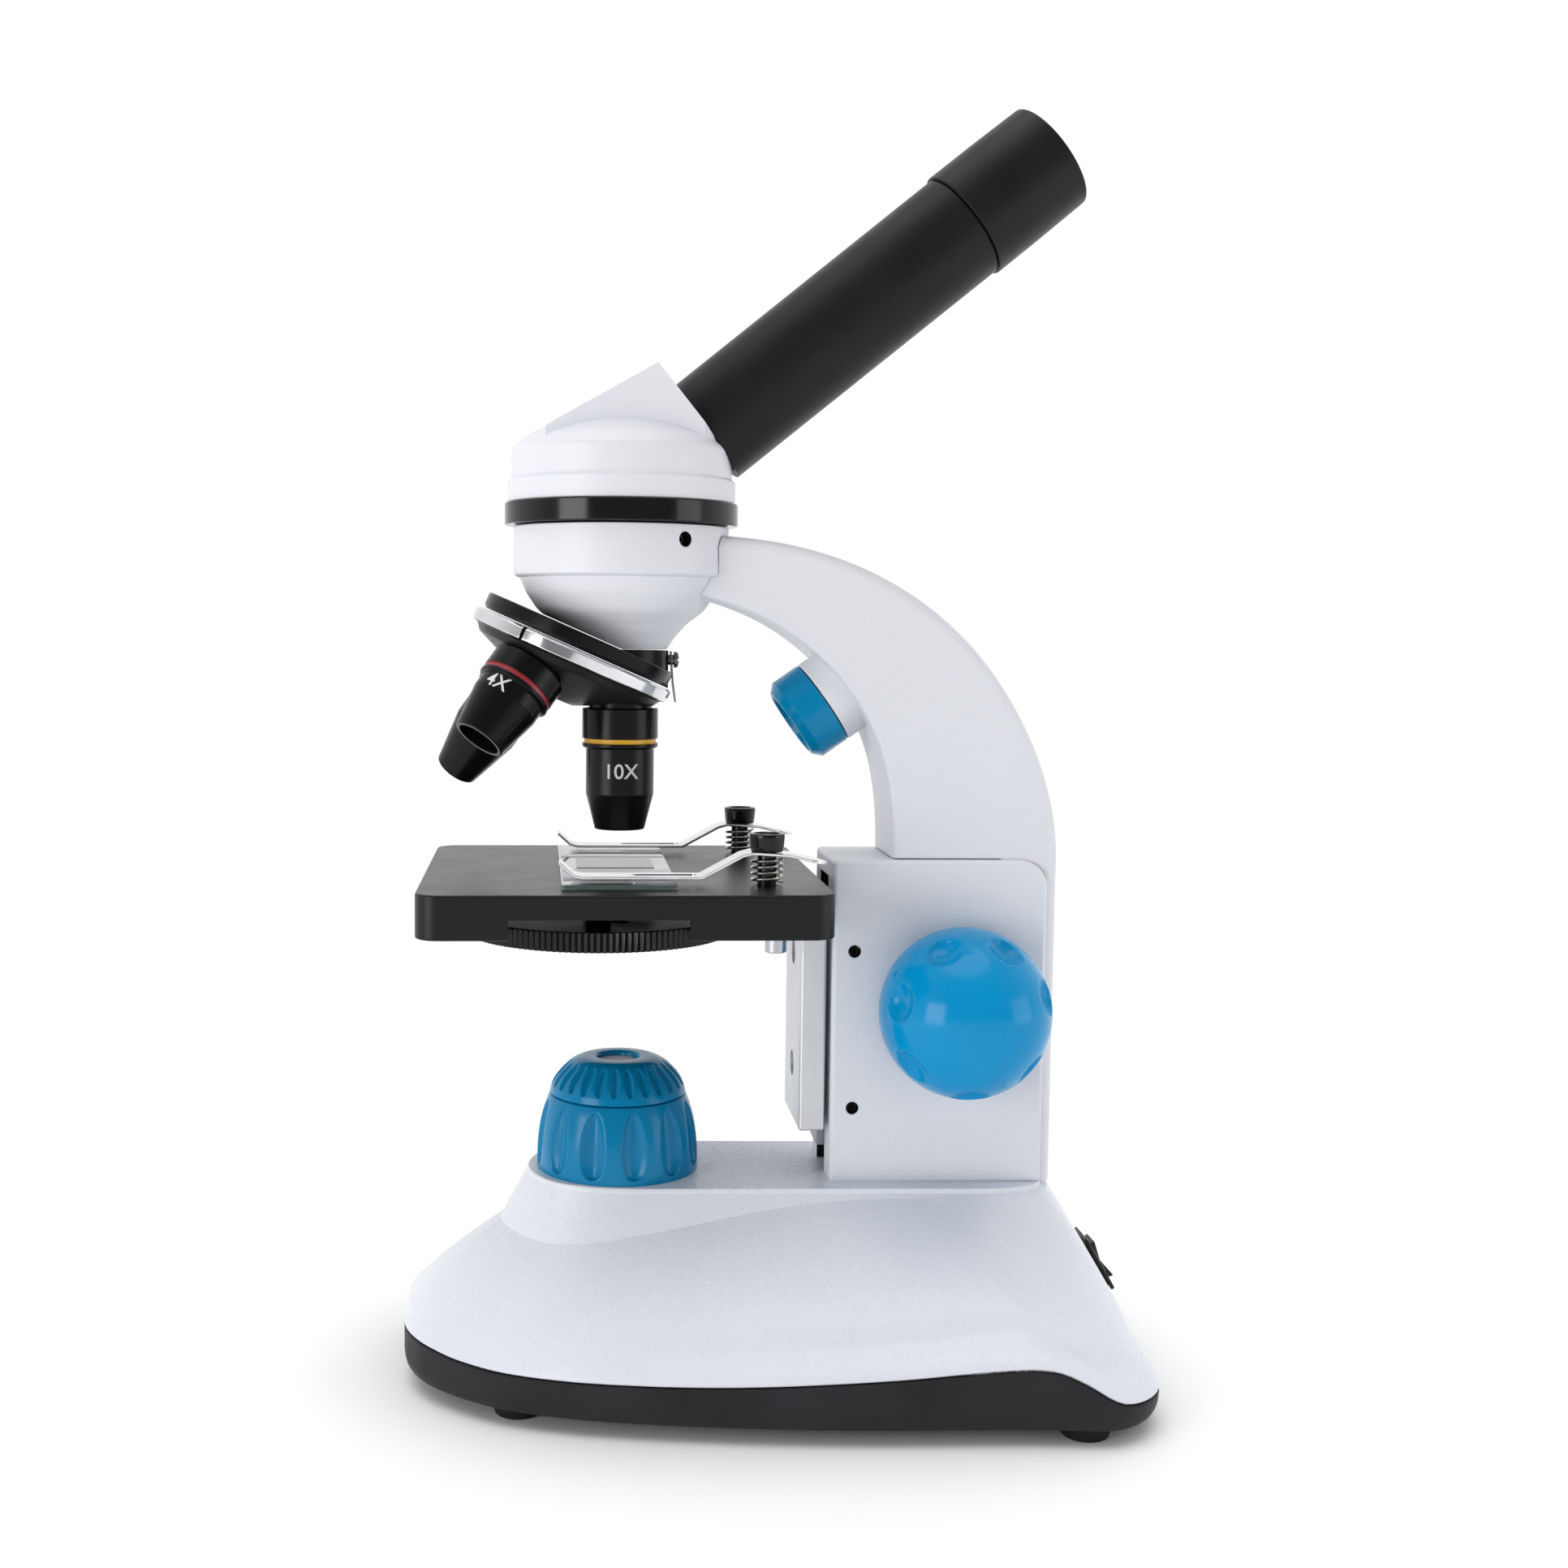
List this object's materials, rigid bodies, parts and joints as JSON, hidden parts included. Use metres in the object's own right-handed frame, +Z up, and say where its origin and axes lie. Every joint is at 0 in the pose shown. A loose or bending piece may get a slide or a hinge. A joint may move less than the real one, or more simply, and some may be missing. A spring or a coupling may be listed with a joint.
{
  "type": "student microscope",
  "caption": "Monocular student microscope with a curved arm, revolving nosepiece, rack-and-pinion stage with slide clips, top lamp and base lamp, and an inclined rotating eyepiece tube.",
  "frame": {"origin": "middle of the base's outline on the table", "axes": "+Z up, +X from the stage towards the back of the arm, -Y towards the near knob"},
  "size_m": [0.1718, 0.1162, 0.2958],
  "materials": {
    "white_plastic": "fine pebbled moulding",
    "white_enamel": "fine-grained satin white paint",
    "black_plastic": "satin",
    "gloss_black": "gloss",
    "black_metal": "satin black anodised look",
    "rubber": "matte",
    "blue_plastic": "satin blue",
    "knob_blue": "glossy bright blue",
    "chrome": "polished",
    "steel": "fine ground",
    "aluminium": "bead-blasted",
    "brass": "machined",
    "glass": "clear",
    "frosted": "frosted translucent",
    "circuit": "solder mask",
    "cell": "printed sleeve"
  },
  "bodies": {
    "stand": {"base_shell": "white_plastic", "base_pan": "black_plastic", "battery_door": "black_plastic", "battery_1": "cell", "battery_2": "cell", "battery_3": "cell", "circuit_board": "circuit", "foot_front_near": "rubber", "foot_front_far": "rubber", "foot_rear_near": "rubber", "foot_rear_far": "rubber", "switch_body": "black_plastic", "lamp_collar": "blue_plastic", "base_led": "frosted", "arm": "white_enamel", "focus_housing": "white_enamel", "gib": "brass", "gib_screw_upper": "steel", "gib_screw_lower": "steel", "top_lamp_cap": "blue_plastic", "top_lamp_lens": "glass", "head_body": "white_enamel", "head_lock_screw": "steel", "nosepiece_plate": "black_plastic", "detent_spring": "steel", "detent_screw": "steel"},
    "base_lamp": {"lamp_cap": "blue_plastic", "lamp_window": "frosted"},
    "power_switch": {"switch_rocker": "black_plastic"},
    "head": {"head_collar": "gloss_black", "prism_housing": "white_enamel", "prism": "glass", "eyepiece_tube": "black_metal"},
    "eyepiece": {"eyepiece_barrel": "black_metal", "eye_lens": "glass"},
    "nosepiece": {"turret": "chrome", "objective_10x": "black_metal", "objective_10x_lens": "glass", "objective_40x": "black_metal", "objective_40x_lens": "glass", "objective_4x": "black_metal", "objective_4x_lens": "glass"},
    "stage": {"stage_plate": "black_metal", "stage_bracket": "aluminium", "stage_screw_near": "chrome", "stage_screw_far": "chrome", "specimen_slide": "glass", "disc_screw": "steel", "clip_post_near": "gloss_black", "clip_post_far": "gloss_black", "clip_spring_near": "steel", "clip_spring_far": "steel", "slide_bar": "steel", "rack": "brass"},
    "near_clip": {"clip_near": "chrome"},
    "far_clip": {"clip_far": "chrome"},
    "diaphragm": {"aperture_disc": "gloss_black"},
    "focus": {"pinion_shaft": "steel", "knob_near": "knob_blue", "knob_far": "knob_blue"}
  },
  "joints": [
    {"name": "stage_focus", "type": "slide", "parent": "stand", "child": "stage", "axis": [0, 0, 1], "range_m": [-0.006, 0.002]},
    {"name": "focus_turn", "type": "hinge", "parent": "stand", "child": "focus", "pos_m": [0.0421, 0, 0.0885], "axis": [0, 1, 0], "range_deg": [-49.2, 16.4]},
    {"name": "nosepiece_turn", "type": "hinge", "parent": "stand", "child": "nosepiece", "pos_m": [-0.0359, 0, 0.1949], "axis": [0.3987, 0, 0.9171], "continuous": true},
    {"name": "head_turn", "type": "hinge", "parent": "stand", "child": "head", "pos_m": [-0.0359, 0, 0.2015], "axis": [0, 0, 1], "continuous": true},
    {"name": "eyepiece_pull", "type": "slide", "parent": "head", "child": "eyepiece", "axis": [0.7771, 0, 0.6293], "range_m": [0, 0.02]},
    {"name": "near_clip_swing", "type": "hinge", "parent": "stage", "child": "near_clip", "pos_m": [-0.0043, -0.03, 0.1255], "axis": [0, 0, 1], "range_deg": [0, 60]},
    {"name": "far_clip_swing", "type": "hinge", "parent": "stage", "child": "far_clip", "pos_m": [-0.0043, 0.03, 0.1255], "axis": [0, 0, 1], "range_deg": [-60, 0]},
    {"name": "diaphragm_turn", "type": "hinge", "parent": "stage", "child": "diaphragm", "pos_m": [-0.0412, -0.0146, 0.1085], "axis": [0, 0, 1], "continuous": true},
    {"name": "switch_rock", "type": "hinge", "parent": "stand", "child": "power_switch", "pos_m": [0.08, 0, 0.0219], "axis": [0, 1, 0], "range_deg": [-7, 7]},
    {"name": "base_lamp_twist", "type": "hinge", "parent": "stand", "child": "base_lamp", "pos_m": [-0.0359, 0, 0.0685], "axis": [0, 0, 1], "range_deg": [0, 90]}
  ],
  "couplings": [
    {"joint": "focus_turn", "follows": "stage_focus", "rad_per_m": 142.86}
  ]
}
